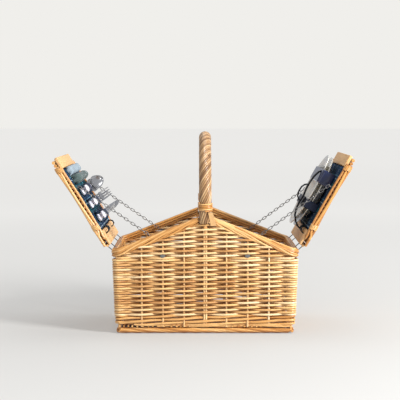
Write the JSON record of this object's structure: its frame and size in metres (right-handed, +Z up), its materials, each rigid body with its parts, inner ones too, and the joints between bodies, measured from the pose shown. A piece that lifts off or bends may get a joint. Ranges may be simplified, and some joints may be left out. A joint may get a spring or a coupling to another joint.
{
  "type": "picnic basket",
  "caption": "Woven willow picnic basket with a gabled body, a roped bow handle and paired chained lids that hold plates and cutlery on their lined insides.",
  "frame": {"origin": "middle of the underside, on the ground between the foot border's four sides", "axes": "+Z up, +X towards the right-hand end as seen from the front, -Y towards the front; both lids stand open"},
  "size_m": [0.7051, 0.3188, 0.466],
  "materials": {
    "willow_weave": "varnished, satin",
    "willow_rod": "varnished, satin",
    "tartan_lining": "woven cotton check",
    "dark_webbing": "woven elastic and webbing",
    "pouch_cloth": "plain cotton",
    "steel": "bright zinc plate",
    "cutlery": "polished, with pale moulded handles",
    "plate_glaze": "gloss cream"
  },
  "bodies": {
    "basket": {"base_mat": "willow_weave", "foot_border": "willow_rod", "front_wall": "willow_weave", "corner_post_front_left": "willow_rod", "front_rim_left": "willow_rod", "corner_post_front_right": "willow_rod", "front_rim_right": "willow_rod", "back_wall": "willow_weave", "corner_post_back_left": "willow_rod", "back_rim_left": "willow_rod", "corner_post_back_right": "willow_rod", "back_rim_right": "willow_rod", "left_end_wall": "willow_weave", "left_end_rim": "willow_rod", "right_end_wall": "willow_weave", "right_end_rim": "willow_rod", "ridge_bar": "willow_rod", "hinge_loops": "steel", "handle_bow": "willow_rod", "handle_roping": "willow_rod", "handle_bindings": "willow_rod", "handle_straps": "willow_rod", "chain_bolts": "steel", "chain_hangers": "steel"},
    "left_lid": {"left_lid_rails": "willow_rod", "left_lid_bindings": "willow_rod", "left_lid_hinge_batten": "willow_rod", "left_lid_hinge_rod": "willow_rod", "left_lid_top_batten": "willow_rod", "left_lid_panel": "willow_weave", "left_lid_lining": "tartan_lining", "left_lid_chain_eyes": "steel", "spoons": "cutlery", "forks": "cutlery", "knives": "cutlery", "cutlery_elastics": "dark_webbing", "napkin_pouch": "pouch_cloth", "lid_pocket": "pouch_cloth"},
    "right_lid": {"right_lid_rails": "willow_rod", "right_lid_bindings": "willow_rod", "right_lid_hinge_batten": "willow_rod", "right_lid_hinge_rod": "willow_rod", "right_lid_top_batten": "willow_rod", "right_lid_panel": "willow_weave", "right_lid_lining": "tartan_lining", "right_lid_chain_eyes": "steel", "plate_1": "plate_glaze", "plate_2": "plate_glaze", "plate_band": "dark_webbing", "plate_strap": "dark_webbing", "strap_buckle": "steel"},
    "front_left_chain_wall_part": {"chain_front_left_wall_part": "steel"},
    "front_left_chain_lid_part": {"chain_front_left_lid_part": "steel"},
    "back_left_chain_wall_part": {"chain_back_left_wall_part": "steel"},
    "back_left_chain_lid_part": {"chain_back_left_lid_part": "steel"},
    "front_right_chain_wall_part": {"chain_front_right_wall_part": "steel"},
    "front_right_chain_lid_part": {"chain_front_right_lid_part": "steel"},
    "back_right_chain_wall_part": {"chain_back_right_wall_part": "steel"},
    "back_right_chain_lid_part": {"chain_back_right_lid_part": "steel"}
  },
  "joints": [
    {"name": "left_lid_hinge", "type": "hinge", "parent": "basket", "child": "left_lid", "pos_m": [-0.226, 0, 0.2045], "axis": [0, 1, 0], "range_deg": [0, 101.3]},
    {"name": "front_left_chain_wall_part_swing", "type": "hinge", "parent": "basket", "child": "front_left_chain_wall_part", "pos_m": [-0.104, -0.1275, 0.211], "axis": [0, -1, 0], "range_deg": [0, 125.24]},
    {"name": "front_left_chain_lid_part_swing", "type": "hinge", "parent": "left_lid", "child": "front_left_chain_lid_part", "pos_m": [-0.29107, -0.1275, 0.34072], "axis": [0, -1, 0], "range_deg": [0, 46.54]},
    {"name": "back_left_chain_wall_part_swing", "type": "hinge", "parent": "basket", "child": "back_left_chain_wall_part", "pos_m": [-0.104, 0.1275, 0.211], "axis": [0, -1, 0], "range_deg": [0, 125.24]},
    {"name": "back_left_chain_lid_part_swing", "type": "hinge", "parent": "left_lid", "child": "back_left_chain_lid_part", "pos_m": [-0.29107, 0.1275, 0.34072], "axis": [0, -1, 0], "range_deg": [0, 46.54]},
    {"name": "right_lid_hinge", "type": "hinge", "parent": "basket", "child": "right_lid", "pos_m": [0.226, 0, 0.2045], "axis": [0, -1, 0], "range_deg": [0, 98.8]},
    {"name": "front_right_chain_wall_part_swing", "type": "hinge", "parent": "basket", "child": "front_right_chain_wall_part", "pos_m": [0.104, -0.1275, 0.211], "axis": [0, 1, 0], "range_deg": [0, 126.68]},
    {"name": "front_right_chain_lid_part_swing", "type": "hinge", "parent": "right_lid", "child": "front_right_chain_lid_part", "pos_m": [0.28507, -0.1275, 0.34342], "axis": [0, 1, 0], "range_deg": [0, 45.48]},
    {"name": "back_right_chain_wall_part_swing", "type": "hinge", "parent": "basket", "child": "back_right_chain_wall_part", "pos_m": [0.104, 0.1275, 0.211], "axis": [0, 1, 0], "range_deg": [0, 126.68]},
    {"name": "back_right_chain_lid_part_swing", "type": "hinge", "parent": "right_lid", "child": "back_right_chain_lid_part", "pos_m": [0.28507, 0.1275, 0.34342], "axis": [0, 1, 0], "range_deg": [0, 45.48]}
  ],
  "couplings": [
    {"joint": "front_left_chain_wall_part_swing", "follows": "left_lid_hinge", "ratio": 1.2314},
    {"joint": "front_left_chain_lid_part_swing", "follows": "left_lid_hinge", "ratio": 0.45447},
    {"joint": "back_left_chain_wall_part_swing", "follows": "left_lid_hinge", "ratio": 1.2314},
    {"joint": "back_left_chain_lid_part_swing", "follows": "left_lid_hinge", "ratio": 0.45447},
    {"joint": "front_right_chain_wall_part_swing", "follows": "right_lid_hinge", "ratio": 1.2771},
    {"joint": "front_right_chain_lid_part_swing", "follows": "right_lid_hinge", "ratio": 0.45526},
    {"joint": "back_right_chain_wall_part_swing", "follows": "right_lid_hinge", "ratio": 1.2771},
    {"joint": "back_right_chain_lid_part_swing", "follows": "right_lid_hinge", "ratio": 0.45526}
  ]
}
